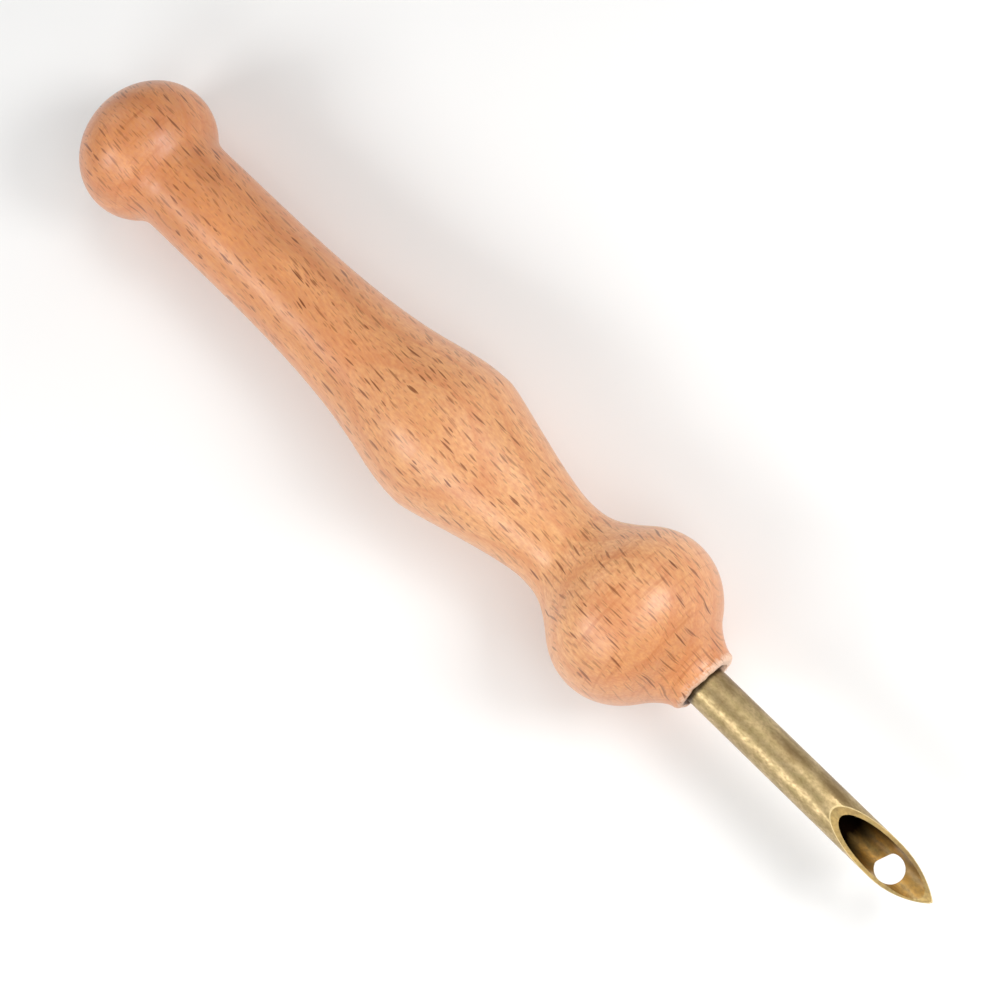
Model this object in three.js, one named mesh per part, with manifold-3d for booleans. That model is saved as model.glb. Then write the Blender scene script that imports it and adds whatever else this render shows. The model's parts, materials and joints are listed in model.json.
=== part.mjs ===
// A punch needle: a turned beech handle with a brass tube needle glued into its nose.
//
// The yarn enters the bore at the butt, runs through the handle and the tube, and leaves by the eye
// behind the nib. The collar's flat nose rests on the cloth and sets how deep the needle goes.
//
// Millimetres, +Z up. The tool lies along X with its tip towards +X and its bevel facing up. The
// origin is on the surface that it lies on, below the middle of its length.

import * as THREE from "three";
import { mergeVertices } from "three/addons/utils/BufferGeometryUtils.js";
import Module from "manifold-3d";

const wasm = await Module();
wasm.setup();

// ---- driving dimensions -------------------------------------------------------------------------
// Stations along the handle are distances behind the nose, the collar's flat end face. A pull says how
// far a smooth stretch holds the direction it leaves or enters that place in, as a share of its span.

const HANDLE_LENGTH = 109;
const NEEDLE_REACH = 37; // from the nose to the tip
const SEAT_DEPTH = 35; // how far the tube goes into the handle

const KNOB = { station: 101.6, halfLength: 8.15, radius: 9.7, pullAfter: 0.4 };
const KNOB_FRONT_ANGLE = 55; // degrees from the axis, where the knob hands over to the neck
const NECK = { start: 93.5, end: 81, radius: 6.75, pullBefore: 0.4, pullAfter: 0.76 };
const CREST = { station: 44, radius: 10.35, pullBefore: 0.24, pullAfter: 0.1 };
const WAIST = { station: 25.7, radius: 6.3, pullBefore: 0.23, pullAfter: 0.33 };
const BALL = { station: 12.1, halfLength: 10, radius: 11.7, pullBefore: 0.55, pullAfter: 0.5 };
const BALL_REAR_ANGLE = 125;
const BALL_FRONT_ANGLE = 40;
const LIP = { radius: 4.7, rounding: 0.75, pullBefore: 0.1 };

const BORE_RADIUS = 3;
const MOUTH_CHAMFER = 0.5;
const BUTT_CHAMFER = 0.6;

const TUBE_RADIUS = 2.75;
const TUBE_WALL = 0.5;
const BEVEL_LENGTH = 15.8;
const NIB_LENGTH = 7.5; // the stretch whose sides are ground to the point
const NIB_OFFSET = 0.3; // the point's place off the axis, towards +Y
const EYE_RADIUS = 1.85;
const EYE_FROM_TIP = 6.4;
const EYE_OFFSET = -0.33;

const LEAN = 0.42; // degrees that the tube leans in its oversize bore, its tip towards -Y
const LEAN_PIVOT = 24.6; // behind the nose, where the tube's axis crosses the bore's

const GLUE_START = 3; // behind the nose
const GLUE_CLEARANCE = 0.02;

const SIDES = 48; // facets round every turned surface
const EYE_SIDES = 32;
const NIB_STEPS = 14; // along each ground side of the nib
const FACET_TURN = 8; // degrees that an outline turns between one facet and the next
const BEECH = { color: 0xd49a6a, roughness: 0.42, metalness: 0 };
const BRASS = { color: 0xb5a06a, roughness: 0.34, metalness: 1 };
const EPOXY = { color: 0xc9a45c, roughness: 0.25, metalness: 0 };

const NOSE_X = (HANDLE_LENGTH - NEEDLE_REACH) / 2;
const AXIS_HEIGHT = BALL.radius;

// ---- outlines -----------------------------------------------------------------------------------
// An outline lies in the plane (x = distance from the nose, negative behind it; y = radius).

const point = (x, radius) => new THREE.Vector2(x, radius);
const radians = THREE.MathUtils.degToRad;

// An arc of a turned bead: an ellipse on the axis, between two angles from the +X direction.
function bead({ station, halfLength, radius }, fromAngle, toAngle) {
  return new THREE.EllipseCurve(-station, 0, halfLength, radius, fromAngle, toAngle, fromAngle > toAngle);
}

// The S-shaped stretch between two points. It leaves and arrives along the given directions, and
// each pull is the length of that end's handle as a share of the stretch.
function sweep(from, leaving, pullFrom, to, arriving, pullTo) {
  const span = from.distanceTo(to);
  const first = from.clone().addScaledVector(leaving, span * pullFrom);
  const second = to.clone().addScaledVector(arriving, -span * pullTo);
  return new THREE.CubicBezierCurve(from, first, second, to);
}

// How far a curve turns in all, left and right alike, in degrees.
function turnOf(curve) {
  const probes = 64;
  let turn = 0;
  let before = curve.getTangent(0);
  for (let i = 1; i <= probes; i += 1) {
    const after = curve.getTangent(i / probes);
    turn += Math.abs(Math.atan2(before.cross(after), before.dot(after)));
    before = after;
  }
  return THREE.MathUtils.radToDeg(turn);
}

// The outline's points for a list of curves, in order and without doubles.
function outline(curves) {
  const points = curves.flatMap((curve) => curve.getPoints(1 + Math.floor(turnOf(curve) / FACET_TURN)));
  return points.filter((p, i) => i === 0 || p.distanceTo(points[i - 1]) > 1e-4);
}

const straight = (from, to) => new THREE.LineCurve(from, to);

// From the butt's rim, over the knob, neck, grip, waist and ball, to the collar's flat nose.
function handleOutside() {
  const along = point(1, 0);
  const buttAngle = Math.PI - Math.acos((HANDLE_LENGTH - KNOB.station) / KNOB.halfLength);
  const knob = bead(KNOB, buttAngle, radians(KNOB_FRONT_ANGLE));
  const ball = bead(BALL, radians(BALL_REAR_ANGLE), radians(BALL_FRONT_ANGLE));
  const neckStart = point(-NECK.start, NECK.radius);
  const neckEnd = point(-NECK.end, NECK.radius);
  const crest = point(-CREST.station, CREST.radius);
  const waist = point(-WAIST.station, WAIST.radius);
  const lipStart = point(-LIP.rounding, LIP.radius);
  const lip = new THREE.EllipseCurve(
    -LIP.rounding,
    LIP.radius - LIP.rounding,
    LIP.rounding,
    LIP.rounding,
    Math.PI / 2,
    0,
    true,
  );
  return [
    knob,
    sweep(knob.getPoint(1), knob.getTangent(1), KNOB.pullAfter, neckStart, along, NECK.pullBefore),
    straight(neckStart, neckEnd),
    sweep(neckEnd, along, NECK.pullAfter, crest, along, CREST.pullBefore),
    sweep(crest, along, CREST.pullAfter, waist, along, WAIST.pullBefore),
    sweep(waist, along, WAIST.pullAfter, ball.getPoint(0), ball.getTangent(0), BALL.pullBefore),
    ball,
    sweep(ball.getPoint(1), ball.getTangent(1), BALL.pullAfter, lipStart, along, LIP.pullBefore),
    lip,
  ];
}

// From the collar's flat nose, down the countersunk mouth and back through the bore to the butt.
function handleInside() {
  const noseRing = point(0, LIP.radius - LIP.rounding);
  const mouth = point(0, BORE_RADIUS + MOUTH_CHAMFER);
  const boreFront = point(-MOUTH_CHAMFER, BORE_RADIUS);
  const boreRear = point(BUTT_CHAMFER - HANDLE_LENGTH, BORE_RADIUS);
  const buttMouth = point(-HANDLE_LENGTH, BORE_RADIUS + BUTT_CHAMFER);
  return [
    straight(noseRing, mouth),
    straight(mouth, boreFront),
    straight(boreFront, boreRear),
    straight(boreRear, buttMouth),
  ];
}

// ---- solids -------------------------------------------------------------------------------------

// Turns a closed outline about the X axis. A lathe turns about Y, so the result is laid over.
function turned(points) {
  const profile = [...points, points[0].clone()].map((p) => new THREE.Vector2(p.y, p.x));
  return new THREE.LatheGeometry(profile, SIDES).rotateZ(-Math.PI / 2);
}

// A straight ring about the X axis, between two places along it.
function ring(innerRadius, outerRadius, rearX, frontX) {
  return turned([
    point(rearX, outerRadius),
    point(frontX, outerRadius),
    point(frontX, innerRadius),
    point(rearX, innerRadius),
  ]);
}

// A straight rod on the X axis, between two places along it.
function rod(radius, rearX, frontX) {
  return new THREE.CylinderGeometry(radius, radius, frontX - rearX, SIDES)
    .rotateZ(-Math.PI / 2)
    .translate((rearX + frontX) / 2, 0, 0);
}

// Turns what is made on the bore's axis to the tube's own axis.
function leaning(geometry) {
  return geometry.translate(LEAN_PIVOT, 0, 0).rotateZ(-radians(LEAN)).translate(-LEAN_PIVOT, 0, 0);
}

function solid(geometry) {
  const bare = geometry.clone();
  bare.deleteAttribute("normal");
  bare.deleteAttribute("uv");
  const merged = mergeVertices(bare, 1e-4);
  return new wasm.Manifold(
    new wasm.Mesh({
      numProp: 3,
      vertProperties: merged.attributes.position.array,
      triVerts: new Uint32Array(merged.index.array),
    }),
  );
}

function geometryOf(manifold) {
  const mesh = manifold.getMesh();
  const geometry = new THREE.BufferGeometry();
  geometry.setAttribute("position", new THREE.BufferAttribute(mesh.vertProperties, 3));
  geometry.setIndex(new THREE.BufferAttribute(mesh.triVerts, 1));
  geometry.computeVertexNormals();
  return geometry;
}

// Everything above the bevel plane, which rises from the tip at the tube's underside to the heel at
// its top.
function bevelCutter() {
  const size = 2 * BEVEL_LENGTH;
  const slope = Math.atan2(2 * TUBE_RADIUS, BEVEL_LENGTH);
  return new THREE.BoxGeometry(size, size, size)
    .translate(0, 0, size / 2)
    .rotateY(slope)
    .translate(NEEDLE_REACH - BEVEL_LENGTH / 2, 0, 0);
}

// The needle seen from above: parallel sides, then one arc on each side in to the point. An arc that
// starts parallel to the axis and moves inwards by a drop has its centre square to its start.
function nibPlan() {
  const start = NEEDLE_REACH - NIB_LENGTH;
  const side = (sign) => {
    const drop = TUBE_RADIUS - sign * NIB_OFFSET;
    const radius = (NIB_LENGTH ** 2 + drop ** 2) / (2 * drop);
    return { radius, centre: sign * (TUBE_RADIUS - radius), turn: Math.asin(NIB_LENGTH / radius) };
  };
  const left = side(1);
  const right = side(-1);
  const margin = 1;
  const shape = new THREE.Shape();
  shape.moveTo(-SEAT_DEPTH - margin, -TUBE_RADIUS - margin);
  shape.lineTo(start - margin, -TUBE_RADIUS - margin);
  shape.lineTo(start, -TUBE_RADIUS);
  shape.absarc(start, right.centre, right.radius, -Math.PI / 2, right.turn - Math.PI / 2, false);
  shape.absarc(start, left.centre, left.radius, Math.PI / 2 - left.turn, Math.PI / 2, false);
  shape.lineTo(start - margin, TUBE_RADIUS + margin);
  shape.lineTo(-SEAT_DEPTH - margin, TUBE_RADIUS + margin);
  return shape;
}

function nibKeeper() {
  const depth = 4 * TUBE_RADIUS;
  const options = { depth, bevelEnabled: false, curveSegments: NIB_STEPS };
  return new THREE.ExtrudeGeometry(nibPlan(), options).translate(0, 0, -depth / 2);
}

// A drill down through the back wall only: it starts at the axis.
function eyeDrill() {
  const length = 2 * TUBE_RADIUS;
  return new THREE.CylinderGeometry(EYE_RADIUS, EYE_RADIUS, length, EYE_SIDES)
    .rotateX(Math.PI / 2)
    .translate(NEEDLE_REACH - EYE_FROM_TIP, EYE_OFFSET, -length / 2);
}

// ---- sub-parts ----------------------------------------------------------------------------------

function part(name, geometry, look) {
  const mesh = new THREE.Mesh(geometry, new THREE.MeshStandardMaterial(look));
  mesh.name = name;
  return mesh;
}

function handle() {
  return part("handle", turned(outline([...handleOutside(), ...handleInside()])), BEECH);
}

function needleTube() {
  const tube = solid(ring(TUBE_RADIUS - TUBE_WALL, TUBE_RADIUS, -SEAT_DEPTH, NEEDLE_REACH));
  const ground = tube.subtract(solid(bevelCutter())).intersect(solid(nibKeeper()));
  return part("needle_tube", leaning(geometryOf(ground.subtract(solid(eyeDrill())))), BRASS);
}

// The cured glue between the leaning tube and its oversize bore, from the tube's rear end to just
// inside the mouth, where the gap stays open. Its wall is thinner where the tube leans towards it.
function adhesiveSleeve() {
  const filled = solid(rod(BORE_RADIUS - GLUE_CLEARANCE, -SEAT_DEPTH, -GLUE_START));
  const tube = solid(leaning(rod(TUBE_RADIUS + GLUE_CLEARANCE, -2 * SEAT_DEPTH, SEAT_DEPTH)));
  return part("adhesive_sleeve", geometryOf(filled.subtract(tube)), EPOXY);
}

const punchNeedle = new THREE.Group();
punchNeedle.add(handle(), needleTube(), adhesiveSleeve());
punchNeedle.position.set(NOSE_X, 0, AXIS_HEIGHT);

export default punchNeedle;
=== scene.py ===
"""A punch needle: a turned beech handle, a brass tube needle and the cured glue that holds it.

The tool lies along X with its tip towards +X and its bevel facing up. Shapes are worked out in
millimetres from the nose, where the collar's end face meets the tool's axis, and go to metres in the
row frame when they become meshes.
"""

import json
import logging
from dataclasses import dataclass
from enum import Enum, IntEnum
from math import acos, asin, atan2, cos, pi, radians, sin

import bmesh
import bpy
import numpy as np
from mathutils import Matrix, Vector

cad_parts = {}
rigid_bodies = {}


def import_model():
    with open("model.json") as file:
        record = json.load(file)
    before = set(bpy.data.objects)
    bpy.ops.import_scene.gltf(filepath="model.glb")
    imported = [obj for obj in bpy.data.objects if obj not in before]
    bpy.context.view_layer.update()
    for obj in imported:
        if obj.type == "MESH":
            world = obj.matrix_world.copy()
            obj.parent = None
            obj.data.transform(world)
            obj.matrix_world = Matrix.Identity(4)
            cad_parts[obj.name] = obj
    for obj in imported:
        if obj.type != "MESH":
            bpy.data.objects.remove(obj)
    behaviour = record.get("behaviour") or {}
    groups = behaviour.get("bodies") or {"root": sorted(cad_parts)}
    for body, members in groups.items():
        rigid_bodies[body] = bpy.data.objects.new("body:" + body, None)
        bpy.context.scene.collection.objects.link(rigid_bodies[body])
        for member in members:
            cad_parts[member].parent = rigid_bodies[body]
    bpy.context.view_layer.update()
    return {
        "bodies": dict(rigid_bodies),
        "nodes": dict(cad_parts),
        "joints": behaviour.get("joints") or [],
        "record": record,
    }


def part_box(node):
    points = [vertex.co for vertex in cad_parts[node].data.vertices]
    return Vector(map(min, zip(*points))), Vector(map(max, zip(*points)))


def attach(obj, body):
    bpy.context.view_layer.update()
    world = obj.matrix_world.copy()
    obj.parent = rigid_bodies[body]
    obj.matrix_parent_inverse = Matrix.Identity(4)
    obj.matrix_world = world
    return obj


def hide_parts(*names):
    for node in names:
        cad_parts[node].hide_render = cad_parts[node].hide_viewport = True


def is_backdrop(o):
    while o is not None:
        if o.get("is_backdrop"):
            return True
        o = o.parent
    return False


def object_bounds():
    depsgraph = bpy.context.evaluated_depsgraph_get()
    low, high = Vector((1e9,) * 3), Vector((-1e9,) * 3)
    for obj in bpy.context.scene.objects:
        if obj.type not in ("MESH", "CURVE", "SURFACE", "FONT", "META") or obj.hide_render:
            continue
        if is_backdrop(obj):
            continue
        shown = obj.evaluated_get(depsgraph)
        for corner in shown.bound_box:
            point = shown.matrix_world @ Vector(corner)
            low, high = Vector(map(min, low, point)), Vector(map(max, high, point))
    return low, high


MM = 0.001
BODY = "root"
ZONE_ATTRIBUTE = "zone"
MERGE_DISTANCE = 0.0005  # mm, within which two points of a skin are one
SHARP_ANGLE = radians(30)

Array = np.ndarray
Colour = tuple[float, float, float, float]
Triple = tuple[float, float, float]
Pair = tuple[float, float]
Socket = bpy.types.NodeSocket

log = logging.getLogger("punch_needle")


class Slot(Enum):
    """The record's material slots that the new pieces take their finish from."""

    BEECH = "beech"
    BRASS = "brass"


class Zone(IntEnum):
    """How a stretch of the needle's skin was made."""

    DRAWN = 0
    CUT = 1
    BORE = 2
    # the land's outer strip, which takes a painted glint on freshly cut metal
    EDGE_GLINT = 3


class Join(Enum):
    """How two ramps are joined, as Blender's Math node names it."""

    SUM = "ADD"
    PRODUCT = "MULTIPLY"


# ---- shared tools ----


def linear(code: str) -> Colour:
    """Turns a colour from sRGB to linear.

    Args:
        code: an sRGB hex value such as "#d9a06c".

    Returns:
        Linear red, green and blue from 0 to 1, with an alpha of 1.
    """
    channels = [int(code[i : i + 2], 16) / 255 for i in (1, 3, 5)]
    red, green, blue = (c / 12.92 if c <= 0.04045 else ((c + 0.055) / 1.055) ** 2.4 for c in channels)
    return red, green, blue, 1.0


class Graph:
    """A node tree being built, one node at a time."""

    def __init__(self, tree: bpy.types.NodeTree) -> None:
        """Starts from an empty tree."""
        self.tree = tree
        tree.nodes.clear()

    def add(self, kind: str, inputs: dict | None = None, out: str | int = 0, **settings: object) -> Socket:
        """Adds a node with its settings and links.

        Args:
            kind: the node's type without its "ShaderNode" prefix.
            inputs: what goes into each input, by number, identifier or name: an output to link, or
                a plain value.
            out: the output to hand back, by number, identifier or name.
            settings: the node's own properties.

        Returns:
            The chosen output, or the node's first input if it has no output.
        """
        node = self.tree.nodes.new("ShaderNode" + kind)
        for name, value in settings.items():
            setattr(node, name, value)
        for key, value in (inputs or {}).items():
            socket = self.pick(node.inputs, key)
            if isinstance(value, bpy.types.NodeSocket):
                self.tree.links.new(value, socket)
            else:
                socket.default_value = value
        return self.pick(node.outputs, out) if node.outputs else node.inputs[0]

    @staticmethod
    def pick(sockets: bpy.types.bpy_prop_collection, key: str | int) -> Socket:
        """Finds a socket by its number, its identifier or its name."""
        named = (socket for socket in sockets if key in (socket.identifier, socket.name))
        return sockets[key] if isinstance(key, int) else next(named)


def new_material(name: str) -> tuple[bpy.types.Material, Graph]:
    """Makes an empty material.

    Args:
        name: the material's name.

    Returns:
        The material and the graph of its node tree.
    """
    material = bpy.data.materials.new(name)
    material.use_nodes = True
    return material, Graph(material.node_tree)


@dataclass(frozen=True)
class Place:
    """Where the handle lies in the row frame, in metres: its nose on its axis, its butt, its width."""

    nose: Triple
    butt_x: float
    widest: float

    @classmethod
    def from_frame(cls, frame: dict) -> "Place":
        """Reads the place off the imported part.


        Returns:
            The handle's place.
        """
        low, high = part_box("handle")
        mount = next(m for m in frame["record"]["mounts"] if m["name"] == "nose_face")
        nose = (mount["pos_m"][0], (low.y + high.y) / 2, (low.z + high.z) / 2)
        return cls(nose, low.x, high.y - low.y)

    @property
    def handle_length(self) -> float:
        """From the butt to the nose, in millimetres."""
        return (self.nose[0] - self.butt_x) / MM


class Skin:
    """A closed skin being gathered from grids of points, in millimetres from the nose."""

    def __init__(self) -> None:
        """Starts with no points."""
        self.points: list[Array] = []
        self.quads: list[Array] = []
        self.zones: list[Array] = []

    def add(self, grid: Array, zone: int = 0) -> None:
        """Adds a grid whose columns close on themselves.

        Args:
            grid: points by row, column and axis. Each point joins its neighbours in its row and
                column, and the last column joins the first.
            zone: a number kept with the grid's faces.
        """
        rows, columns = grid.shape[:2]
        index = np.arange(rows * columns).reshape(rows, columns) + sum(map(len, self.points))
        right = np.roll(index, -1, axis=1)
        quads = np.stack([index[:-1], right[:-1], right[1:], index[1:]], axis=-1).reshape(-1, 4)
        self.points.append(grid.reshape(-1, 3))
        self.quads.append(quads)
        self.zones.append(np.full(len(quads), zone, dtype=np.float32))

    def build(self, name: str, nose: Triple) -> bpy.types.Object:
        """Joins the grids into one object with its faces outwards.

        Args:
            name: the object's name.
            nose: the nose's place in metres, which the points are measured from.

        Returns:
            The object, at the origin, with its place in its mesh.
        """
        points = np.concatenate(self.points) * MM + np.array(nose)
        mesh = bpy.data.meshes.new(name)
        mesh.from_pydata(points.tolist(), [], np.concatenate(self.quads).tolist())
        zones = mesh.attributes.new(ZONE_ATTRIBUTE, "FLOAT", "FACE")
        zones.data.foreach_set("value", np.concatenate(self.zones))
        self.close(mesh)
        mesh.shade_smooth()
        mesh.set_sharp_from_angle(angle=SHARP_ANGLE)
        piece = bpy.data.objects.new(name, mesh)
        bpy.context.scene.collection.objects.link(piece)
        return piece

    @staticmethod
    def close(mesh: bpy.types.Mesh) -> None:
        """Merges the grids' shared edges, then turns every face outwards.

        Args:
            mesh: the mesh of all the grids.
        """
        work = bmesh.new()
        work.from_mesh(mesh)
        bmesh.ops.remove_doubles(work, verts=work.verts, dist=MERGE_DISTANCE * MM)
        bmesh.ops.recalc_face_normals(work, faces=work.faces)
        work.to_mesh(mesh)
        work.free()


def fit_out(piece: bpy.types.Object, node: str, material: bpy.types.Material) -> None:
    """Gives a new piece its material and its place in the part.

    Args:
        piece: the finished object.
        node: the CAD node that it stands for.
        material: what it wears.
    """
    piece.data.materials.append(material)
    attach(piece, BODY)
    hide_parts(node)
    log.info("%s: %d faces, stands for %s", piece.name, len(piece.data.polygons), node)


# ---- outlines ----
# An outline is an array of (x, radius): x is measured from the nose and is negative behind it.


@dataclass(frozen=True)
class Bead:
    """A turned bead: an ellipse on the axis, its centre a station behind the nose."""

    station: float
    half_length: float
    radius: float

    def at(self, angle: float | Array) -> Array:
        """The point or points at these angles from +X: half length times cosine, radius times sine."""
        x = self.half_length * np.cos(angle) - self.station
        return np.stack([x, self.radius * np.sin(angle)], axis=-1)

    def arc(self, start: float, end: float, count: int) -> Array:
        """Points at even angles from start to end."""
        return self.at(np.linspace(start, end, count))

    def leave(self, angle: float) -> tuple[Array, Array]:
        """The point at an angle, and the unit direction there of an outline towards the nose."""
        way = np.array([self.half_length * sin(angle), -self.radius * cos(angle)])
        return self.at(angle), way / np.linalg.norm(way)


@dataclass(frozen=True)
class Bend:
    """How an S-shaped stretch bends: its two handles as shares of its length, and its point count."""

    first: float
    last: float
    count: int

    def sweep(self, start: Array, leaving: Array, end: Array, arriving: Array) -> Array:
        """The stretch: a cubic Bezier curve whose handles lie along the two directions.

        Args:
            start: where it starts.
            leaving: the unit direction that it leaves in.
            end: where it ends.
            arriving: the unit direction that it arrives in.

        Returns:
            The points.
        """
        span = np.linalg.norm(end - start)
        second = start + leaving * span * self.first
        third = end - arriving * span * self.last
        t = np.linspace(0, 1, self.count)[:, None]
        s = 1 - t
        return s**3 * start + 3 * s**2 * t * second + 3 * s * t**2 * third + t**3 * end


def joined(stretches: list[Array]) -> Array:
    """One outline from stretches that each start where the last one ended."""
    return np.concatenate([stretches[0], *(s[1:] for s in stretches[1:])])


def about_axis(x: float | Array, radius: float | Array, angle: Array) -> Array:
    """Points (x, radius times sine, less radius times cosine), so angle 0 is at the bottom."""
    return np.stack(np.broadcast_arrays(x, radius * np.sin(angle), -radius * np.cos(angle)), axis=-1)


def turned(outline: Array, columns: int) -> Array:
    """An outline repeated round the axis, as a grid of points by row, column and axis."""
    return about_axis(outline[:, :1], outline[:, 1:], np.arange(columns) * 2 * pi / columns)


# ---- finishes ----


def in_millimetres(graph: Graph, origin: Triple = (0.0, 0.0, 0.0)) -> Socket:
    """Coordinates in millimetres from a point in metres, along the frame's own axes."""
    inputs = {"Vector": graph.add("TexCoord", out="Object"), "Location": origin, "Scale": (MM, MM, MM)}
    return graph.add("Mapping", inputs, vector_type="TEXTURE")


def layered(graph: Graph, first: str, layers: list[tuple[Socket, str]]) -> Socket:
    """Lays colours over a first one, in order.

    Args:
        graph: the material's graph.
        first: the first colour, as an sRGB hex value.
        layers: for each next colour, how much of it covers the last, from 0 to 1, and its value.

    Returns:
        The colour that is seen.
    """
    seen: Socket | Colour = linear(first)
    for share, over in layers:
        inputs = {"Factor_Float": share, "A_Color": seen, "B_Color": linear(over)}
        seen = graph.add("Mix", inputs, out="Result_Color", data_type="RGBA")
    return seen


@dataclass(frozen=True)
class Ramp:
    """A change from low to high while a value goes from start to end, held beyond both."""

    start: float
    end: float
    low: float = 0.0
    high: float = 1.0

    def over(self, value: Socket) -> dict:
        """What the inputs of a Map Range node need to carry the value along this ramp."""
        return {0: value, 1: self.start, 2: self.end, 3: self.low, 4: self.high}


@dataclass(frozen=True)
class Stretches:
    """Two ramps along the tool, joined into one."""

    first: Ramp
    second: Ramp
    join: Join

    def at(self, graph: Graph, along: Socket) -> Socket:
        """Both ramps together, over millimetres ahead of the nose."""
        first, second = (graph.add("MapRange", ramp.over(along)) for ramp in (self.first, self.second))
        return graph.add("Math", {0: first, 1: second}, operation=self.join.value)


@dataclass(frozen=True)
class Pattern:
    """Noise whose features are a length along X and a width across it, in millimetres."""

    length: float
    width: float
    detail: float
    roughness: float = 0.55

    def at(self, graph: Graph, coords: Socket) -> Socket:
        """The noise, on coordinates divided by the features' sizes.

        Args:
            graph: the material's graph.
            coords: coordinates in millimetres.

        Returns:
            A number from 0 to 1, mostly near a half.
        """
        sizes = (self.length, self.width, self.width)
        cells = graph.add("VectorMath", {0: coords, 1: sizes}, operation="DIVIDE")
        inputs = {"Vector": cells, "Scale": 1.0, "Detail": self.detail, "Roughness": self.roughness}
        return graph.add("TexNoise", inputs)


@dataclass(frozen=True)
class Border:
    """A ragged border: a ramp over a distance that noise moves by up to a depth, in millimetres."""

    depth: float
    change: Ramp

    def at(self, graph: Graph, distance: Socket, noise: Socket) -> Socket:
        """How far each point is past the border, from its distance and the noise."""
        ragged = graph.add("Math", {0: noise, 1: self.depth, 2: distance}, operation="MULTIPLY_ADD")
        return graph.add("MapRange", self.change.over(ragged))


@dataclass(frozen=True)
class RayFlecks:
    """One set of beech's ray flecks: short dark lenses along the grain, in millimetres.

    Each cell of a pattern of cells holds at most one lens, and share is the part of the cells that
    hold one. The rays are thin sheets that stand on the growth rings, so a lens in the plan is
    carried straight up and down through the wood.
    """

    cell_length: float
    cell_width: float
    shortest: float
    longest: float
    width: float
    share: float
    strongest: float
    shift: Pair
    faintest: float = 0.35
    scatter: float = 0.85
    softness: Ramp = Ramp(0.0, 0.6)

    def lenses(self, graph: Graph, grain: Socket) -> Socket:
        """How strongly this set marks the wood.

        A lens is where 1 less the square of the distance along it over its half length, less the
        distance across it over its half width, is above 0.

        Args:
            graph: the material's graph.
            grain: coordinates along the grain.

        Returns:
            A number from 0 to 1.
        """
        cell = (self.cell_length, self.cell_width, 1.0)
        cells = graph.add("VectorMath", {0: grain, 1: cell}, operation="DIVIDE")
        cells = graph.add("VectorMath", {0: cells, 1: (*self.shift, 0.0)}, operation="ADD")
        inputs = {"Vector": cells, "Scale": 1.0, "Randomness": self.scatter}
        centre = graph.add("TexVoronoi", inputs, out="Position", voronoi_dimensions="2D")
        chance = graph.add("SeparateColor", {0: centre.node.outputs["Color"]}).node.outputs
        away = graph.add("VectorMath", {0: cells, 1: centre}, operation="SUBTRACT")
        away = graph.add("VectorMath", {0: away, 1: cell}, operation="MULTIPLY")
        away = graph.add("SeparateXYZ", {0: away}).node.outputs
        half_lengths = Ramp(0.0, 1.0, self.shortest / 2, self.longest / 2)
        half_length = graph.add("MapRange", half_lengths.over(chance[0]))
        along = graph.add("Math", {0: away[0], 1: half_length}, operation="DIVIDE")
        along = graph.add("Math", {0: along, 1: along}, operation="MULTIPLY")
        across = graph.add("Math", {0: away[1]}, operation="ABSOLUTE")
        both = graph.add("Math", {0: across, 1: 2 / self.width, 2: along}, operation="MULTIPLY_ADD")
        lens = graph.add("Math", {0: 1.0, 1: both}, operation="SUBTRACT")
        lens = graph.add("MapRange", self.softness.over(lens), interpolation_type="SMOOTHSTEP")
        strengths = Ramp(1 - self.share, 1.0, self.faintest, self.strongest)
        strength = graph.add("MapRange", strengths.over(chance[1]))
        held = graph.add("Math", {0: chance[1], 1: 1 - self.share}, operation="GREATER_THAN")
        lens = graph.add("Math", {0: lens, 1: strength}, operation="MULTIPLY")
        return graph.add("Math", {0: lens, 1: held}, operation="MULTIPLY")


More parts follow.
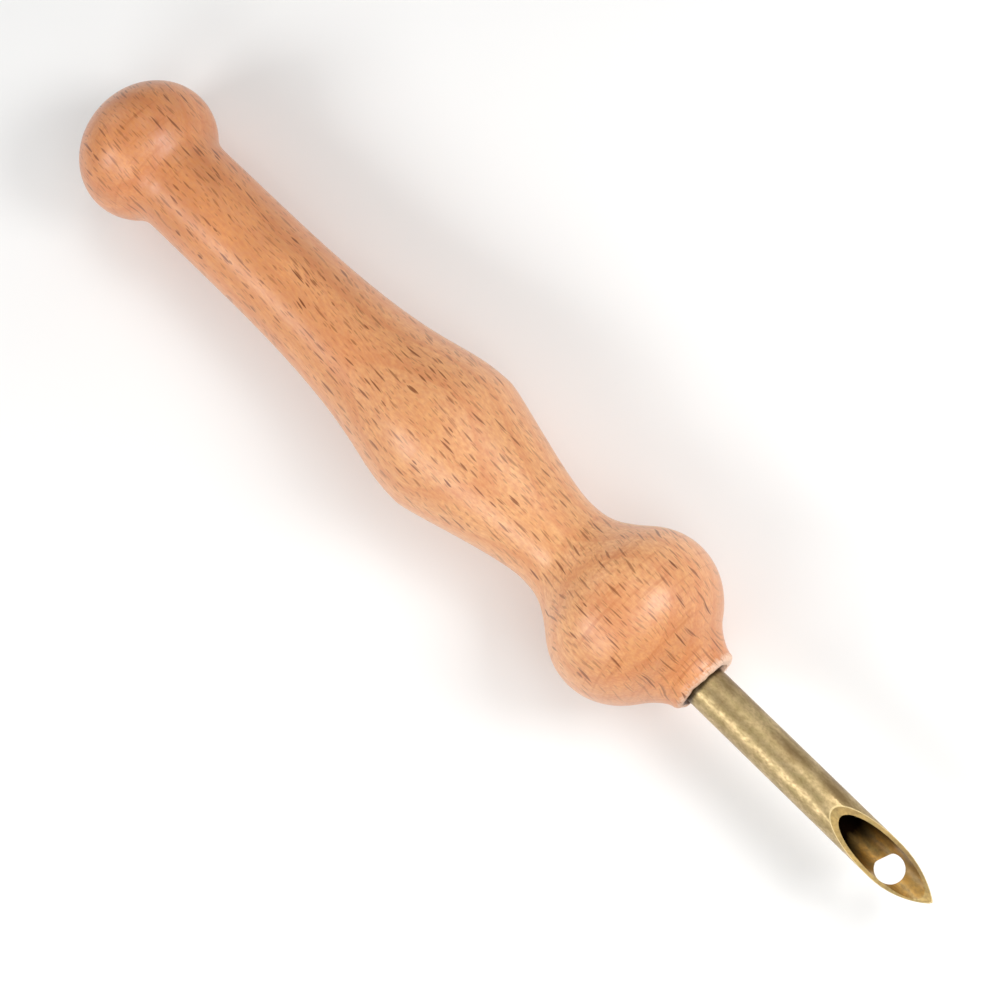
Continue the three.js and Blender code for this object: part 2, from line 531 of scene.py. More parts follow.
@dataclass(frozen=True)
class LacqueredBeech:
    """Steamed beech, turned, sanded and brushed with a satin lacquer.

    The eye sees an even pinkish tan with a painted sheen: the colour grows paler from the neck to
    the ball's middle, where the lights fall brightest, and warms again at the collar. Short brown ray
    flecks run along the grain, with faint growth rings, a few lines that the gouge left round the
    ball and the knob, and soft milky highlights from the lacquer. The collar's end is bare: pale torn
    end grain. Inside, the mouth and the bore are painted dark: painted shade, laid with glue and
    dirt, darkest on the -Y side.

    Real ray flecks are 0.5 to 4 mm long and up to 0.3 mm wide, and growth rings 1 to 4 mm apart.
    Fibres are about 0.02 mm wide and pores 0.08 mm, too fine to show, so the fibres are drawn
    0.28 mm wide and the pores as a speckle 0.4 mm wide. Places are millimetres from the nose.
    """

    nose: Triple
    pale: str = "#e79c5b"
    deep: str = "#cc8449"
    # the painted sheen's colour, laid paler towards the ball
    paler: str = "#f3bd82"
    pink: str = "#cf8a63"
    ring: str = "#c9703c"
    mark: str = "#b8622b"
    fleck: str = "#7c3c00"
    end_grain: str = "#f2d3bb"
    # painted shade in the mouth and the bore, with glue and dirt
    stain_and_shade: str = "#52290a"
    grain_turn: float = radians(-3.5)
    wander: float = 2.6
    wanders: Pattern = Pattern(22.0, 8.0, 2.0)
    fleck_sets: tuple[RayFlecks, ...] = (
        RayFlecks(6.4, 1.6, 1.6, 3.6, 0.34, 0.75, 1.0, (0.0, 0.0)),
        RayFlecks(4.6, 1.2, 1.0, 2.8, 0.3, 0.7, 0.9, (17.3, 12.11)),
        RayFlecks(3.4, 0.9, 0.8, 2.0, 0.24, 0.7, 0.45, (63.1, 44.17)),
        RayFlecks(2.2, 0.6, 0.7, 1.5, 0.2, 0.8, 0.28, (41.9, 29.33)),
    )
    flat_sawn: Ramp = Ramp(0.05, 0.45, 0.25, 1.0)
    fibres: Pattern = Pattern(1.8, 0.28, 4.0)
    streaks: Ramp = Ramp(0.38, 0.68, 0.0, 0.45)
    fibre_roughness: Ramp = Ramp(0.3, 0.7, 0.42, 0.56)
    speckles: Pattern = Pattern(0.7, 0.4, 3.0)
    mottle: Ramp = Ramp(0.35, 0.65, 0.0, 0.5)
    blotches: Pattern = Pattern(9.0, 3.5, 3.0)
    blotch_share: Ramp = Ramp(0.3, 0.7)
    pith: Pair = (22.0, -95.0)
    ring_spacing: float = 2.9
    ring_wander: float = 1.8
    ring_wanders: Pattern = Pattern(30.0, 7.0, 2.0)
    late_wood: Ramp = Ramp(0.45, 0.92)
    ring_edge: Ramp = Ramp(0.92, 1.0, 1.0, 0.0)
    ring_strength: float = 0.3
    marks: Pattern = Pattern(0.75, 9.0, 2.0)
    mark_share: Ramp = Ramp(0.56, 0.74)
    mark_strength: float = 0.45
    mark_depth: float = 1.5
    ball_and_knob: Stretches = Stretches(Ramp(-26.0, -19.0), Ramp(-91.0, -96.0), Join.SUM)
    # Painted sheen: paler towards the ball's middle, where the lights fall brightest, and less so at the
    # collar.
    painted_sheen_paling: Stretches = Stretches(
        Ramp(-90.0, -32.0, 0.0, 0.7), Ramp(-14.0, -4.0, 1.0, 0.25), Join.PRODUCT
    )
    # Painted shade with glue and dirt: it fills the bore and the mouth, and its centre sits towards -Y so
    # that side is darker.
    stain_and_shade_aside: float = 0.35
    stain_and_shade_fade: Ramp = Ramp(3.2, 3.6, 0.95, 0.0)
    tears: Pattern = Pattern(0.5, 0.35, 3.0)
    lip: Border = Border(1.6, Ramp(0.1, 0.9, 0.0, 0.85))
    lacquered: Ramp = Ramp(0.0, 0.8, 0.72, 0.0)
    bump_strength: float = 0.25
    bump_height: float = 0.04

    def material(self) -> bpy.types.Material:
        """Builds the material.

        Returns:
            The finished material.
        """
        material, graph = new_material("satin_lacquered_beech")
        coords = in_millimetres(graph, self.nose)
        along = graph.add("SeparateXYZ", {0: coords}).node.outputs[0]
        grain = self.along_grain(graph, coords)
        fibres = self.fibres.at(graph, grain)
        speckles = self.speckles.at(graph, grain)
        blotches = self.blotches.at(graph, grain)
        flecks = self.flecks(graph, grain)
        rings = self.rings(graph, grain)
        lines = graph.add("MapRange", self.mark_share.over(self.marks.at(graph, coords)))
        beads = self.ball_and_knob.at(graph, along)
        marks = graph.add("Math", {0: lines, 1: beads}, operation="MULTIPLY")
        lip = self.lip.at(graph, along, self.tears.at(graph, coords))
        mouth = self.mouth(graph, coords)
        colour = layered(
            graph,
            self.pale,
            [
                (graph.add("MapRange", self.blotch_share.over(blotches)), self.deep),
                # painted sheen, paler towards the ball
                (self.painted_sheen_paling.at(graph, along), self.paler),
                (graph.add("MapRange", self.mottle.over(speckles)), self.pink),
                (graph.add("Math", {0: rings, 1: self.ring_strength}, operation="MULTIPLY"), self.ring),
                (graph.add("MapRange", self.streaks.over(fibres)), self.ring),
                (graph.add("Math", {0: marks, 1: self.mark_strength}, operation="MULTIPLY"), self.mark),
                (lip, self.end_grain),
                (flecks, self.fleck),
                # painted shade in the mouth and the bore, with glue and dirt
                (mouth, self.stain_and_shade),
            ],
        )
        bare = graph.add("Math", {0: lip, 1: mouth}, operation="MAXIMUM")
        height = graph.add("Math", {0: fibres, 1: flecks}, operation="SUBTRACT")
        height = graph.add("Math", {0: marks, 1: -self.mark_depth, 2: height}, operation="MULTIPLY_ADD")
        inputs = {"Strength": self.bump_strength, "Distance": self.bump_height * MM, "Height": height}
        shader = graph.add(
            "BsdfPrincipled",
            {
                "Base Color": colour,
                "Roughness": graph.add("MapRange", self.fibre_roughness.over(fibres)),
                "Normal": graph.add("Bump", inputs),
                "IOR": 1.5,
                "Coat Weight": graph.add("MapRange", self.lacquered.over(bare)),
                "Coat Roughness": 0.34,
                "Coat IOR": 1.5,
            },
        )
        graph.add("OutputMaterial", {"Surface": shader})
        return material

    def along_grain(self, graph: Graph, coords: Socket) -> Socket:
        """Coordinates along the grain: turned about Z, with a slow wander to either side.

        Args:
            graph: the material's graph.
            coords: coordinates in millimetres from the nose.

        Returns:
            The coordinates along the grain.
        """
        inputs = {"Vector": coords, "Rotation": (0.0, 0.0, self.grain_turn)}
        grain = graph.add("Mapping", inputs, vector_type="TEXTURE")
        sideways = graph.add("CombineXYZ", {1: self.wanders.at(graph, grain)})
        inputs = {0: sideways, 1: (0.0, self.wander, 0.0), 2: grain}
        return graph.add("VectorMath", inputs, operation="MULTIPLY_ADD")

    def flecks(self, graph: Graph, grain: Socket) -> Socket:
        """The strongest of the fleck sets at each place, paler on faces that look along the rings.

        Args:
            graph: the material's graph.
            grain: coordinates along the grain.

        Returns:
            A number from 0 to 1.
        """
        strongest, *others = (one_set.lenses(graph, grain) for one_set in self.fleck_sets)
        for lenses in others:
            strongest = graph.add("Math", {0: strongest, 1: lenses}, operation="MAXIMUM")
        facing = graph.add("NewGeometry", out="Normal")
        upright = graph.add("SeparateXYZ", {0: facing}).node.outputs[2]
        upright = graph.add("Math", {0: upright}, operation="ABSOLUTE")
        flat_sawn = graph.add("MapRange", self.flat_sawn.over(upright), interpolation_type="SMOOTHSTEP")
        return graph.add("Math", {0: strongest, 1: flat_sawn}, operation="MULTIPLY")

    def rings(self, graph: Graph, grain: Socket) -> Socket:
        """Growth rings: the late wood darkens slowly outwards and ends at once.

        A ring's phase is the fraction of the distance to the pith over the ring spacing. The pith is
        beside and below the handle.

        Args:
            graph: the material's graph.
            grain: coordinates along the grain.

        Returns:
            A number from 0 to 1.
        """
        across, up = self.pith
        inputs = {0: grain, 1: (0.0, 1.0, 1.0), 2: (0.0, -across, -up)}
        from_pith = graph.add("VectorMath", inputs, operation="MULTIPLY_ADD")
        distance = graph.add("VectorMath", {0: from_pith}, out="Value", operation="LENGTH")
        inputs = {0: self.ring_wanders.at(graph, grain), 1: self.ring_wander, 2: distance}
        distance = graph.add("Math", inputs, operation="MULTIPLY_ADD")
        turns = graph.add("Math", {0: distance, 1: self.ring_spacing}, operation="DIVIDE")
        phase = graph.add("Math", {0: turns}, operation="FRACT")
        rise = graph.add("MapRange", self.late_wood.over(phase), interpolation_type="SMOOTHSTEP")
        fall = graph.add("MapRange", self.ring_edge.over(phase))
        return graph.add("Math", {0: rise, 1: fall}, operation="MULTIPLY")

    def mouth(self, graph: Graph, coords: Socket) -> Socket:
        """How dark the mouth and the bore are painted: painted shade, with glue and dirt, most on -Y.

        Args:
            graph: the material's graph.
            coords: coordinates in millimetres from the nose.

        Returns:
            A number from 0 to 1, worked out from the distance to a line beside the axis.
        """
        inputs = {0: coords, 1: (0.0, 1.0, 1.0), 2: (0.0, self.stain_and_shade_aside, 0.0)}
        from_line = graph.add("VectorMath", inputs, operation="MULTIPLY_ADD")
        radius = graph.add("VectorMath", {0: from_line}, out="Value", operation="LENGTH")
        return graph.add("MapRange", self.stain_and_shade_fade.over(radius))


@dataclass(frozen=True)
class DrawnBrass:
    """Brass tube, drawn, ground to its bevel, filed at the nib and lightly tarnished.

    The eye sees a satin yellow metal with fine lines along the tube, olive and brown tarnish in soft
    patches, a freshly cut rim with a painted glint on its outer edge, and a bore painted darker
    with depth, a painted shade.

    Lines from the drawing die are about 0.02 mm wide, too fine to show, and are drawn 0.16 mm wide.
    Tarnish starts in spots of about 0.4 mm and joins into patches of 1 to 6 mm. Painted shade
    darkens the +Y flank and, with the dirt there, the tube where it enters the collar. The bore is
    painted dark deeper than about a centimetre behind the tip, a painted shade.
    """

    nose: Triple
    clean: str = "#d0b788"
    olive: str = "#9a8a58"
    brown: str = "#846a41"
    cut: str = "#bb9c5e"
    bore: str = "#bd8d40"
    # painted shade deep in the bore
    bore_shade_colour: str = "#140a04"
    # painted glint along the rim's outer edge, on freshly cut metal
    edge: str = "#dfc994"
    # painted shade where the tube enters the collar, with the dirt there
    root: str = "#4a3a22"
    lines: Pattern = Pattern(6.0, 0.16, 3.0)
    patches: Pattern = Pattern(1.4, 0.8, 4.0)
    patch_share: Ramp = Ramp(0.35, 0.75, 0.0, 0.75)
    stains: Pattern = Pattern(6.0, 2.5, 3.0)
    spots: Pattern = Pattern(0.5, 0.35, 3.0)
    spot_share: Ramp = Ramp(0.4, 0.75, 0.0, 0.55)
    # painted shade: darker towards the +Y flank
    towards_shaded_flank: Ramp = Ramp(-1.0, 3.0, -0.05, 0.22)
    painted_flank_shade: Border = Border(1.0, Ramp(0.5, 0.8, 0.0, 0.85))
    painted_root_shade: Border = Border(-0.5, Ramp(-0.1, 0.3, 0.95, 0.0))
    bore_shade_depth: Border = Border(-4.0, Ramp(22.5, 27.5, 1.0, 0.0))
    edge_glint_wear: Ramp = Ramp(0.3, 0.6)
    tarnish_roughness: Ramp = Ramp(0.7, 1.3, 0.38, 0.58)
    bore_roughness: float = 0.1
    patch_height: float = 0.8
    line_height: float = 0.4
    bump_strength: float = 0.35
    bump_height: float = 0.015
    film: Ramp = Ramp(0.0, 1.0, 0.4, 0.0)

    def material(self) -> bpy.types.Material:
        """Builds the material.

        Returns:
            The finished material.
        """
        material, graph = new_material("satin_drawn_brass")
        coords = in_millimetres(graph, self.nose)
        lines = self.lines.at(graph, coords)
        patches = self.patches.at(graph, coords)
        stains = self.stains.at(graph, coords)
        spots = self.spots.at(graph, coords)
        along, aside, _ = graph.add("SeparateXYZ", {0: coords}).node.outputs
        # painted shade, growing towards the +Y flank
        flank = graph.add("MapRange", self.towards_shaded_flank.over(aside))
        in_bore = self.within(graph, Zone.BORE)
        # painted shade: the bore goes near black deeper than about a centimetre behind the tip
        deep = self.bore_shade_depth.at(graph, along, stains)
        painted_bore_shade = graph.add("Math", {0: in_bore, 1: deep}, operation="MULTIPLY")
        # painted glint on the rim's outer edge, broken up by noise
        wear = graph.add("MapRange", self.edge_glint_wear.over(spots))
        edge_glint = graph.add("Math", {0: self.within(graph, Zone.EDGE_GLINT), 1: wear}, operation="MULTIPLY")
        colour = layered(
            graph,
            self.clean,
            [
                (in_bore, self.bore),
                (self.within(graph, Zone.CUT), self.cut),
                (graph.add("MapRange", self.patch_share.over(patches)), self.olive),
                (graph.add("MapRange", self.spot_share.over(spots)), self.brown),
                # painted shade on the +Y flank
                (self.painted_flank_shade.at(graph, flank, stains), self.brown),
                # painted shade where the tube enters the collar, with the dirt there
                (self.painted_root_shade.at(graph, along, patches), self.root),
                # painted shade deep in the bore
                (painted_bore_shade, self.bore_shade_colour),
                # painted glint along the rim's outer edge
                (edge_glint, self.edge),
            ],
        )
        tarnish = graph.add("Math", {0: spots, 1: patches}, operation="ADD")
        roughness = graph.add("MapRange", self.tarnish_roughness.over(tarnish))
        inputs = {0: in_bore, 1: self.bore_roughness, 2: roughness}
        roughness = graph.add("Math", inputs, operation="MULTIPLY_ADD")
        inputs = {0: patches, 1: self.patch_height, 2: spots}
        height = graph.add("Math", inputs, operation="MULTIPLY_ADD")
        inputs = {0: lines, 1: self.line_height, 2: height}
        height = graph.add("Math", inputs, operation="MULTIPLY_ADD")
        inputs = {"Strength": self.bump_strength, "Distance": self.bump_height * MM, "Height": height}
        shader = graph.add(
            "BsdfPrincipled",
            {
                "Base Color": colour,
                "Metallic": 1.0,
                "Roughness": roughness,
                "Normal": graph.add("Bump", inputs),
                "Coat Weight": graph.add("MapRange", self.film.over(painted_bore_shade)),
                "Coat Roughness": 0.3,
            },
        )
        graph.add("OutputMaterial", {"Surface": shader})
        return material

    def within(self, graph: Graph, zone: Zone) -> Socket:
        """1 on the faces that were made this way, and 0 on the others."""
        made = graph.add("Attribute", out="Fac", attribute_name=ZONE_ATTRIBUTE)
        return graph.add("Math", {0: made, 1: float(zone), 2: 0.5}, operation="COMPARE")


@dataclass(frozen=True)
class CuredEpoxy:
    """Two-part epoxy glue, cured in the gap.

    The eye sees a glossy amber with clouds of about 1.5 mm, where air was stirred in.
    """

    clear: str = "#c9a45c"
    cloudy: str = "#dcc48e"
    clouds: Pattern = Pattern(1.5, 1.5, 3.0, 0.5)
    cloud_roughness: Ramp = Ramp(0.0, 1.0, 0.15, 0.4)

    def material(self) -> bpy.types.Material:
        """Builds the material.

        Returns:
            The finished material.
        """
        material, graph = new_material("cured_amber_epoxy")
        clouds = self.clouds.at(graph, in_millimetres(graph))
        colour = layered(graph, self.clear, [(clouds, self.cloudy)])
        roughness = graph.add("MapRange", self.cloud_roughness.over(clouds))
        shader = graph.add("BsdfPrincipled", {"Base Color": colour, "Roughness": roughness, "IOR": 1.55})
        graph.add("OutputMaterial", {"Surface": shader})
        return material


# ---- sub-assemblies ----


@dataclass(frozen=True)
class BeechHandle:
    """The handle: one turning with a knob, neck, swelling grip, waist, ball and collar.

    Stations are millimetres behind the nose, and pairs are points of the outline. Each of the lip's
    waves is how many times it goes round, its height against the others and where it starts.
    """

    place: Place
    knob: Bead = Bead(station=101.6, half_length=8.15, radius=9.7)
    knob_front: float = radians(55)
    knob_bend: Bend = Bend(0.4, 0.4, 20)
    neck_start: Pair = (-93.5, 6.75)
    neck_end: Pair = (-81.0, 6.75)
    grip_bend: Bend = Bend(0.76, 0.24, 48)
    crest: Pair = (-44.0, 10.35)
    crest_bend: Bend = Bend(0.1, 0.23, 40)
    waist: Pair = (-25.7, 6.3)
    waist_bend: Bend = Bend(0.33, 0.55, 30)
    ball_station: float = 12.1
    ball_half_length: float = 10.0
    ball_rear: float = radians(125)
    ball_front: float = radians(40)
    collar_bend: Bend = Bend(0.5, 0.1, 24)
    lip_radius: float = 4.7
    lip_rounding: float = 0.75
    bore_radius: float = 3.0
    mouth_chamfer: float = 0.5
    butt_chamfer: float = 0.6
    out_of_square: float = 0.28
    ragged: float = 0.05
    lip_waves: tuple[tuple[int, float, float], ...] = ((5, 1.0, 0.6), (9, 0.7, 2.1), (17, 0.5, 0.0))
    end_fade: float = 4.0
    columns: int = 256
    bead_points: int = 56
    straight_points: int = 12
    lip_points: int = 12
    chamfer_points: int = 3

    def outside(self) -> Array:
        """The outline from the butt's rim to the collar's flat nose, in nine stretches.

        Returns:
            Points (x, radius).
        """
        along = np.array([1.0, 0.0])
        knob = self.knob
        ball = Bead(self.ball_station, self.ball_half_length, self.place.widest / MM / 2)
        butt = pi - acos((self.place.handle_length - knob.station) / knob.half_length)
        neck_start, neck_end = np.array(self.neck_start), np.array(self.neck_end)
        crest, waist = np.array(self.crest), np.array(self.waist)
        lip_start = np.array([-self.lip_rounding, self.lip_radius])
        lip = Bead(self.lip_rounding, self.lip_rounding, self.lip_rounding)
        lip = lip.arc(pi / 2, 0, self.lip_points) + np.array([0.0, self.lip_radius - self.lip_rounding])
        return joined(
            [
                knob.arc(butt, self.knob_front, self.bead_points),
                self.knob_bend.sweep(*knob.leave(self.knob_front), neck_start, along),
                np.linspace(neck_start, neck_end, self.straight_points),
                self.grip_bend.sweep(neck_end, along, crest, along),
                self.crest_bend.sweep(crest, along, waist, along),
                self.waist_bend.sweep(waist, along, *ball.leave(self.ball_rear)),
                ball.arc(self.ball_rear, self.ball_front, self.bead_points),
                self.collar_bend.sweep(*ball.leave(self.ball_front), lip_start, along),
                lip,
            ]
        )

    def inside(self) -> Array:
        """The outline from the nose's ring, down the mouth, back through the bore, to the butt.

        Returns:
            Points (x, radius).
        """
        rear = -self.place.handle_length
        corners = [
            (0.0, self.lip_radius - self.lip_rounding),
            (0.0, self.bore_radius + self.mouth_chamfer),
            (-self.mouth_chamfer, self.bore_radius),
            (rear + self.butt_chamfer, self.bore_radius),
            (rear, self.bore_radius + self.butt_chamfer),
        ]
        counts = (self.chamfer_points, self.chamfer_points, self.straight_points, self.chamfer_points)
        return joined([np.linspace(*stretch) for stretch in zip(corners, corners[1:], counts)])

    def worked(self, grid: Array) -> Array:
        """The collar as the hand left it: its end a little out of square, and its lip ragged.

        Each point moves along the axis by out_of_square times its y over the lip's radius, and by
        the ragged lip's waves. Both fade out behind the nose, by 3 t squared less 2 t cubed.

        Args:
            grid: the turned grid.

        Returns:
            The grid with the collar's end moved.
        """
        x, y, z = grid[..., 0], grid[..., 1], grid[..., 2]
        near = np.clip(1 + x / self.end_fade, 0, 1)
        near = near * near * (3 - 2 * near)
        angle = np.arctan2(y, z)
        waves = sum(height * np.sin(times * angle + start) for times, height, start in self.lip_waves)
        slant = self.out_of_square * y / self.lip_radius
        moved = grid.copy()
        moved[..., 0] += near * (slant + self.ragged * near * waves)
        return moved

    def build(self, material: bpy.types.Material) -> None:
        """Turns the handle and fits it out.

        Args:
            material: the handle's finish.
        """
        outline = joined([self.outside(), self.inside()])
        closed = np.concatenate([outline, outline[:1]])
        skin = Skin()
        skin.add(self.worked(turned(closed, self.columns)))
        fit_out(skin.build("beech_handle", self.place.nose), "handle", material)


@dataclass(frozen=True)
class BrassNeedle:
    """The needle: a drawn tube, bevelled from its top down to its tip, with a nib and an eye.

    A point of a wall is given by its angle from the bottom, towards +Y, and by its distance behind
    the tip. Lengths are in millimetres. The columns are step apart, and the tube leans about an
    upright line that stands lean_pivot behind the nose.
    """

    place: Place
    reach: float = 37.0
    seat_depth: float = 35.0
    lean: float = radians(0.42)
    lean_pivot: float = 24.6
    radius: float = 2.75
    wall: float = 0.5
    bevel_length: float = 15.8
    nib_length: float = 7.5
    nib_offset: float = 0.3
    eye_radius: float = 1.85
    eye_from_tip: float = 6.4
    eye_offset: float = -0.33
    eye_flat: float = 1.5
    eye_flat_way: float = radians(160)
    eye_sharpness: int = 20
    least_cosine: float = 0.05
    edge_share: float = 0.16
    tip_rounding: float = 0.2
    tip_rounding_start: float = 0.17
    front_angle: float = radians(100)
    step: float = radians(1)
    rear_rows: int = 30
    front_rows: int = 12

    @property
    def bore(self) -> float:
        """The radius of the tube's inside."""
        return self.radius - self.wall

    @property
    def angles(self) -> Array:
        """The columns' angles, in even steps all round from the top.

        Returns:
            The angles, with the nib's point exactly on one.
        """
        point = asin(self.nib_offset / self.radius)
        before = round((point + pi) / self.step)
        after = round((pi - point) / self.step)
        spans = (-pi, point, before), (point, pi, after)
        return np.concatenate([np.linspace(*span, endpoint=False) for span in spans])

    def bevel(self, z: float | Array) -> float | Array:
        """How far behind the tip the bevel plane stands at a height from the axis."""
        return (self.radius + z) * self.bevel_length / (2 * self.radius)

    def bevel_height(self, behind: Array) -> Array:
        """The bevel plane's height from the axis at a distance behind the tip."""
        return behind * 2 * self.radius / self.bevel_length - self.radius

    def nib(self, y: Array) -> Array:
        """How far behind the tip the nib's ground sides stand.

        Each side is an arc that starts parallel to the tube, at the nib's length behind the tip, and
        drops to the nib's point. Its radius is (length squared + drop squared) / (2 drop), and its
        centre is square to its start. The point is rounded to a small arc of its own, which starts
        tip_rounding_start behind the tip.

        Args:
            y: distances from the axis, towards +Y.

        Returns:
            The distances behind the tip.
        """
        side = np.where(y >= self.nib_offset, 1.0, -1.0)
        drop = self.radius - side * self.nib_offset
        arc = (self.nib_length**2 + drop**2) / (2 * drop)
        centre = side * (self.radius - arc)
        sides = self.nib_length - np.sqrt(np.maximum(arc**2 - (y - centre) ** 2, 0))
        aside = np.minimum(np.abs(y - self.nib_offset), self.tip_rounding)
        rounded = self.tip_rounding_start + self.tip_rounding - np.sqrt(self.tip_rounding**2 - aside**2)
        return np.maximum(sides, rounded * (aside < self.tip_rounding))

    def end(self, angle: Array, radius: float) -> Array:
        """Where a wall of that radius ends: behind both the bevel and the nib's sides."""
        return np.maximum(self.bevel(-radius * np.cos(angle)), self.nib(radius * np.sin(angle)))

    def on_wall(self, behind: float | Array, angle: Array, radius: float) -> Array:
        """Points on a wall of that radius."""
        return about_axis(self.reach - behind, radius, angle)

    def leaning(self, grid: Array) -> Array:
        """Turns points from the bore's axis to the tube's own.

        Args:
            grid: points made on the bore's axis.

        Returns:
            The points turned by the lean about the upright line through the pivot, the tip to -Y.
        """
        along, aside = grid[..., 0] + self.lean_pivot, grid[..., 1]
        turned_grid = grid.copy()
        turned_grid[..., 0] = along * cos(self.lean) + aside * sin(self.lean) - self.lean_pivot
        turned_grid[..., 1] = aside * cos(self.lean) - along * sin(self.lean)
        return turned_grid

    def eye_edge(self, way: Array) -> tuple[Array, Array]:
        """The eye's outline in the plan: a circle whose heel side is filed to a chord.

        Args:
            way: directions from the eye's centre, as angles from the tip's side towards +Y.

        Returns:
            The outline's distances behind the tip and from the axis. Its distance from the centre is
            the smooth lesser of the eye's radius and the chord's distance: each to the power of less
            the sharpness, added, to the power of less one over the sharpness.
        """
        chord = self.eye_flat / np.maximum(np.cos(way - self.eye_flat_way), self.least_cosine)
        power = -self.eye_sharpness
        reach = (self.eye_radius**power + chord**power) ** (1 / power)
        return self.eye_from_tip - reach * np.cos(way), self.eye_offset + reach * np.sin(way)

    @property
    def ways(self) -> Array:
        """The direction from the eye's centre to each point of the outer wall's border.

        Returns:
            Angles on the unrolled wall, from the tip's side towards +Y.
        """
        behind, angle = self.border(self.radius)
        centre_angle = asin(self.eye_offset / self.radius)
        return np.arctan2(self.radius * (angle - centre_angle), self.eye_from_tip - behind)

    def front(self, radius: float) -> tuple[slice, Array]:
        """The front of a wall, which holds the eye.

        Args:
            radius: the wall's radius.

        Returns:
            The columns that it takes up, and how far behind the tip the rear stretch ends at every
            angle.
        """
        angle = self.angles
        cut = self.bevel(-radius * cos(self.front_angle))
        inside = np.flatnonzero(np.abs(angle) < self.front_angle)
        return slice(inside[0] - 1, inside[-1] + 2), np.maximum(self.end(angle, radius), cut)

    def border(self, radius: float) -> tuple[Array, Array]:
        """The front's border as one closed loop, out along the cut and back along the wall's end.

        Args:
            radius: the wall's radius.

        Returns:
            Its distances behind the tip and its angles.
        """
        columns, stops = self.front(radius)
        angle = self.angles[columns]
        behind = np.concatenate([stops[columns], self.end(angle, radius)[-2:0:-1]])
        return behind, np.concatenate([angle, angle[-2:0:-1]])

    def front_grid(self, radius: float) -> Array:
        """The front of a wall: straight rays on the unrolled wall from the eye's edge to the border.

        Args:
            radius: the wall's radius.

        Returns:
            The grid.
        """
        behind, angle = self.border(radius)
        eye_behind, eye_y = self.eye_edge(self.ways)
        eye_angle = np.arcsin(eye_y / radius)
        t = np.linspace(0, 1, self.front_rows)[:, None]
        ray = eye_behind + t * (behind - eye_behind)
        return self.on_wall(ray, eye_angle + t * (angle - eye_angle), radius)

    def walls(self) -> list[tuple[Array, Zone]]:
        """The outside and the bore, each as a rear stretch and the front that holds the eye.

        Returns:
            Each grid and how it was made.
        """
        rear = self.reach + self.seat_depth
        t = np.linspace(0, 1, self.rear_rows)[:, None]
        grids = []
        for radius, zone in ((self.radius, Zone.DRAWN), (self.bore, Zone.BORE)):
            stops = self.front(radius)[1]
            grids.append((self.on_wall(rear + t * (stops - rear), self.angles, radius), zone))
            grids.append((self.front_grid(radius), zone))
        return grids

    def rims(self) -> list[tuple[Array, Zone]]:
        """What joins the walls: the bevel's land, its painted-glint edge, the eye's wall and the rear end.

        Returns:
            Each grid and how it was made.
        """
        angle = self.angles
        outer_end = self.end(angle, self.radius)
        inner_edge = self.on_wall(self.end(angle, self.bore), angle, self.bore)
        outer_edge = self.on_wall(outer_end, angle, self.radius)
        land_edge = outer_edge.copy()
        land_edge[:, 2] = np.maximum(self.bevel_height(outer_end), outer_edge[:, 2])
        glint_edge = land_edge + self.edge_share * (inner_edge - land_edge)
        rear = self.reach + self.seat_depth
        eye_behind, eye_y = self.eye_edge(self.ways)
        radii = (self.radius, self.bore)
        return [
            (np.stack([inner_edge, glint_edge]), Zone.CUT),
            (np.stack([glint_edge, land_edge, outer_edge]), Zone.EDGE_GLINT),
            (np.stack([self.on_wall(eye_behind, np.arcsin(eye_y / r), r) for r in radii]), Zone.CUT),
            (np.stack([self.on_wall(rear, angle, r) for r in radii]), Zone.CUT),
        ]

    def build(self, material: bpy.types.Material) -> None:
        """Builds the walls and what joins them, and fits the needle out.

        Args:
            material: the needle's finish.
        """
        skin = Skin()
        for grid, zone in self.walls() + self.rims():
            skin.add(self.leaning(grid), zone)
        fit_out(skin.build("brass_needle", self.place.nose), "needle_tube", material)


@dataclass(frozen=True)
class GlueSleeve:
    """The cured glue between the tube and its bore, which keeps its CAD shape."""

    node: str = "adhesive_sleeve"

    def dress(self, frame: dict, material: bpy.types.Material) -> None:
        """Gives the sleeve its finish.

        Args:
            material: the sleeve's finish.
        """
        sleeve = frame["nodes"][self.node]
        for slot in sleeve.material_slots:
            slot.material = material
        log.info("%s: dressed", self.node)


# ---- studio ----


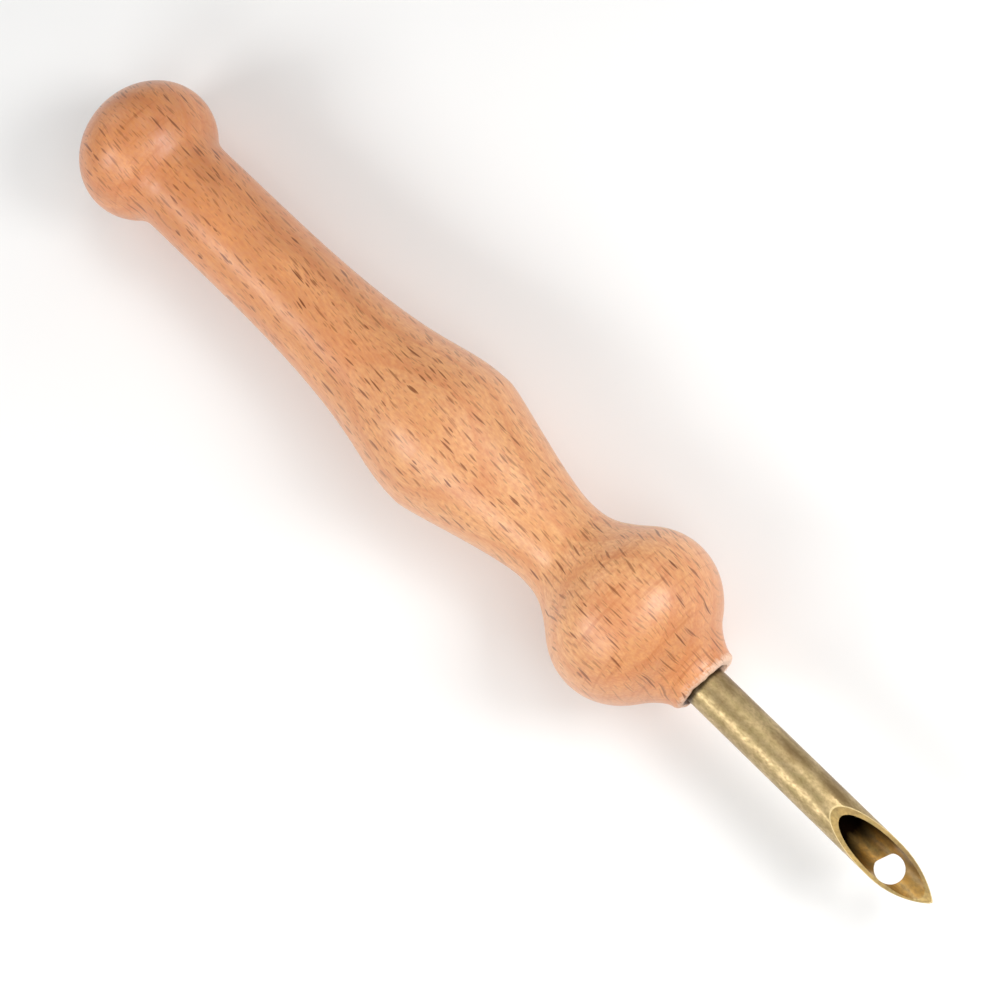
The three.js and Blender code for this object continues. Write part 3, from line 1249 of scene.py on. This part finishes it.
@dataclass(frozen=True)
class Bench:
    """The plain white surface that the tool lies on, a hair's breadth under its ball and its knob.

    Its size is in metres and its clearance in millimetres.
    """

    place: Place
    handle: BeechHandle
    size: float = 4.0
    colour: str = "#f8f8f7"
    clearance: float = 0.02

    def build(self) -> None:
        ball_radius = self.place.widest / 2
        rise = ball_radius - self.handle.knob.radius * MM
        run = (self.handle.knob.station - self.handle.ball_station) * MM
        slope = atan2(rise, run)
        ball_x = self.place.nose[0] - self.handle.ball_station * MM
        touch = Vector((ball_x, 0.0, self.place.nose[2] - ball_radius - self.clearance * MM))
        turn = Matrix.Rotation(slope, 4, "Y")
        half = self.size / 2
        corners = [(-half, -half, 0), (half, -half, 0), (half, half, 0), (-half, half, 0)]
        mesh = bpy.data.meshes.new("bench")
        mesh.from_pydata(corners, [], [(0, 1, 2, 3)])
        mesh.transform(Matrix.Translation(touch) @ turn)
        bench = bpy.data.objects.new("bench", mesh)
        bpy.context.scene.collection.objects.link(bench)
        material, graph = new_material("matt_white_card")
        shader = graph.add("BsdfPrincipled", {"Base Color": linear(self.colour), "Roughness": 0.9})
        graph.add("OutputMaterial", {"Surface": shader})
        mesh.materials.append(material)
        bench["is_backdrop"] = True


@dataclass(frozen=True)
class Softbox:
    """A soft square light that faces the tool. Its position and its side are in metres.

    Its power in watts is its radiance times pi times its area.
    """

    name: str
    position: Triple
    side: float
    radiance: float

    def build(self, target: Vector) -> None:
        """Hangs the light.

        Args:
            target: the point that it faces, in metres.
        """
        lamp = bpy.data.lights.new(self.name, "AREA")
        lamp.shape = "SQUARE"
        lamp.size = self.side
        lamp.energy = self.radiance * pi * self.side**2
        light = bpy.data.objects.new(self.name, lamp)
        light.location = self.position
        light.rotation_euler = (light.location - target).to_track_quat("Z", "Y").to_euler()
        light.visible_camera = False
        bpy.context.scene.collection.objects.link(light)


@dataclass(frozen=True)
class Studio:
    """The lights and the room's own soft light.

    A key light hangs over the tip and two ceiling boxes over the +Y side. Two windows stand beyond
    the -Y side, and weak fills beyond the butt, the tip and the +Y side.
    """

    room: str = "#ffffff"
    room_strength: float = 0.29
    boxes: tuple[Softbox, ...] = (
        Softbox("key", (0.2, 0.02, 0.32), 0.2, 2.0),
        Softbox("ceiling_front", (0.115, 0.11, 0.175), 0.09, 9.5),
        Softbox("ceiling_back", (-0.12, 0.2, 0.4), 0.12, 2.5),
        Softbox("window_back", (-0.13, -0.257, 0.222), 0.12, 8.0),
        Softbox("window_front", (0.05, -0.2, 0.17), 0.13, 3.6),
        Softbox("butt_fill", (-0.5, 0.0, 0.25), 0.25, 1.2),
        Softbox("tip_fill", (0.35, 0.35, 0.1), 0.2, 1.2),
        Softbox("side_fill", (-0.1, 0.5, 0.2), 0.3, 0.6),
    )

    def build(self) -> None:
        """Hangs every light and lights the room."""
        low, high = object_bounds()
        target = (Vector(low) + Vector(high)) / 2
        for box in self.boxes:
            box.build(target)
        world = bpy.data.worlds.new("room")
        world.use_nodes = True
        graph = Graph(world.node_tree)
        light = graph.add("Background", {"Color": linear(self.room), "Strength": self.room_strength})
        graph.add("OutputWorld", {"Surface": light})
        scene = bpy.context.scene
        scene.world = world
        scene.view_settings.view_transform = "Standard"
        log.info("studio: %d softboxes", len(self.boxes))


@dataclass(frozen=True)
class Viewpoint:
    """The camera: nearly above the tool, leaning towards its tip, with the tool across the frame.

    Its distance and the nearest thing that it shows are in metres, and its aim is in millimetres.
    """

    place: Place
    lean: float = radians(15)
    roll: float = radians(43.83)
    distance: float = 0.3108
    aim_behind_nose: float = 34.3
    aim_aside: float = -1.19
    lens: float = 90.0
    nearest: float = 0.01

    def build(self) -> None:
        """Places the camera and makes it the scene's own."""
        back = Vector((sin(self.lean), 0, cos(self.lean)))
        along = Vector((cos(self.lean), 0, -sin(self.lean)))
        aside = Vector((0, 1, 0))
        right = along * cos(self.roll) + aside * sin(self.roll)
        up = aside * cos(self.roll) - along * sin(self.roll)
        nose_x, nose_y, nose_z = self.place.nose
        target = Vector((nose_x - self.aim_behind_nose * MM, nose_y + self.aim_aside * MM, nose_z))
        data = bpy.data.cameras.new("camera")
        data.lens = self.lens
        data.clip_start = self.nearest
        camera = bpy.data.objects.new("camera", data)
        turn = Matrix((right, up, back)).transposed().to_4x4()
        camera.matrix_world = Matrix.Translation(target + back * self.distance) @ turn
        bpy.context.scene.collection.objects.link(camera)
        bpy.context.scene.camera = camera


def main() -> None:
    """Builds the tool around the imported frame, then the studio, and reports each piece."""
    logging.basicConfig(level=logging.INFO, format="%(name)s: %(message)s")
    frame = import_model()
    place = Place.from_frame(frame)
    handle = BeechHandle(place)
    handle.build(LacqueredBeech(place.nose).material())
    BrassNeedle(place).build(DrawnBrass(place.nose).material())
    GlueSleeve().dress(frame, CuredEpoxy().material())
    Bench(place, handle).build()
    Studio().build()
    Viewpoint(place).build()


if __name__ == "__main__":
    main()
